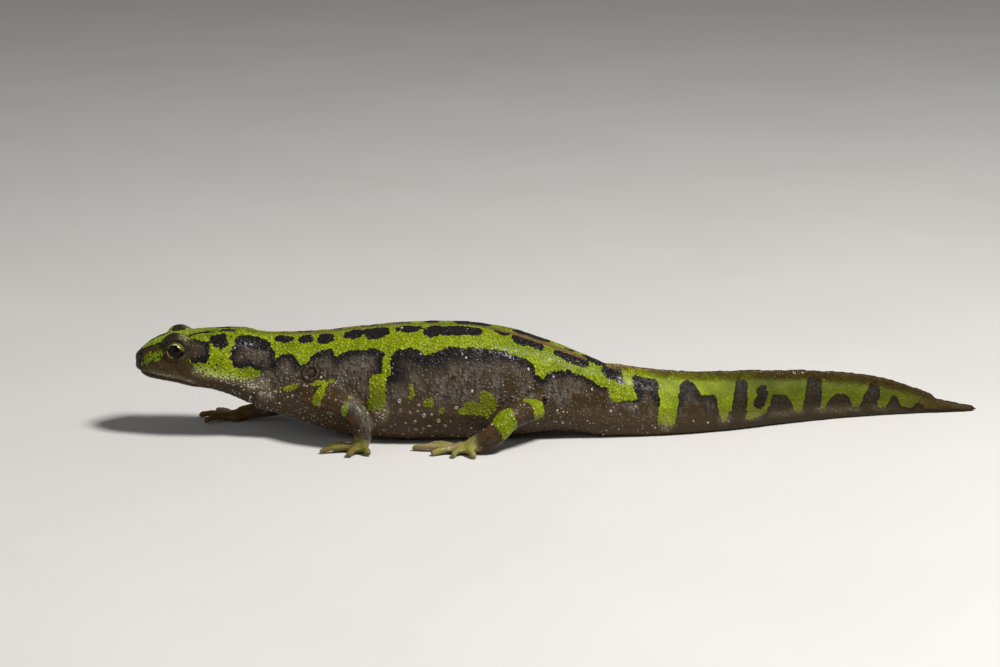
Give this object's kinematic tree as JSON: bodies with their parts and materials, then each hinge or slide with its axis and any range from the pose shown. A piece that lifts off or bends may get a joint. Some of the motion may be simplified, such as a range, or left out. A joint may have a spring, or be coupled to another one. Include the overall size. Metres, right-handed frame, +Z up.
{
  "type": "marbled newt",
  "caption": "Life-size newt in a slow walk: blunt head, stout trunk, splayed legs with spread toes, and a flattened, crested tail curving to one side.",
  "frame": {"origin": "on the floor, under the middle of the newt's length and width", "axes": "+Z up, -X the way the head points, -Y the newt's left side; the tail curves towards +Y"},
  "size_m": [0.1466, 0.038, 0.0193],
  "materials": {
    "skin": "moist amphibian skin, green marbled with brown-black, fine grained and glossy",
    "eye": "wet, near-black with a thin gold ring round the pupil"
  },
  "bodies": {
    "root": {"head": "skin", "lower_jaw": "skin", "eye_left": "eye", "eye_right": "eye", "neck": "skin", "chest": "skin", "belly": "skin", "pelvis": "skin", "tail_base": "skin", "tail_middle": "skin", "tail_end": "skin", "tail_crest": "skin", "upper_arm_front_left": "skin", "forearm_front_left": "skin", "hand_front_left": "skin", "upper_arm_front_right": "skin", "forearm_front_right": "skin", "hand_front_right": "skin", "thigh_hind_left": "skin", "shin_hind_left": "skin", "foot_hind_left": "skin", "thigh_hind_right": "skin", "shin_hind_right": "skin", "foot_hind_right": "skin"}
  },
  "joints": []
}
